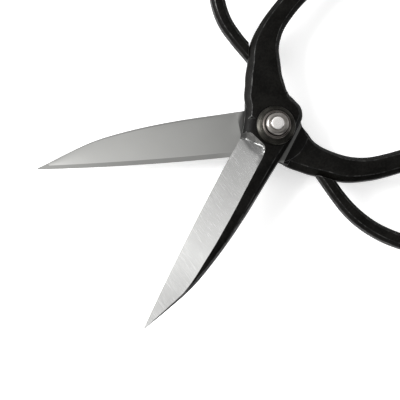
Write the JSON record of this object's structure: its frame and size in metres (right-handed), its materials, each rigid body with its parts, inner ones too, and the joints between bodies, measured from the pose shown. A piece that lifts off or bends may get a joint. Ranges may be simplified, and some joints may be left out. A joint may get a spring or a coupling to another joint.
{
  "type": "flower shears",
  "caption": "Forged flower and bonsai shears with straight pointed blades, butterfly finger loops and a riveted pivot with turned washers.",
  "frame": {"origin": "On the pivot's axis, at the flat end of the rivet's back end, which is what the shears rest on.", "axes": "+Z is the pivot's axis, towards the side with the upper half. +X runs midway between the two blades to their tips, +Y towards the lower half's finger loop."},
  "size_m": [0.1583, 0.1572, 0.017],
  "materials": {
    "forged_steel": "black forged, ground bright on the bevels and mating faces",
    "turned_steel": "turned and darkened",
    "rivet_steel": "ground flat and bright"
  },
  "bodies": {
    "lower_shear": {"lower_half": "forged_steel", "pivot_rivet": "rivet_steel", "front_base_washer": "turned_steel", "front_step_washer": "turned_steel", "front_dome_washer": "turned_steel", "back_base_washer": "turned_steel", "back_step_washer": "turned_steel", "back_dome_washer": "turned_steel"},
    "upper_shear": {"upper_half": "forged_steel"}
  },
  "joints": [
    {"name": "pivot", "type": "hinge", "parent": "lower_shear", "child": "upper_shear", "pos_m": [0, 0, 0.00851], "axis": [0, 0, 1], "range_deg": [-46, 6]}
  ]
}
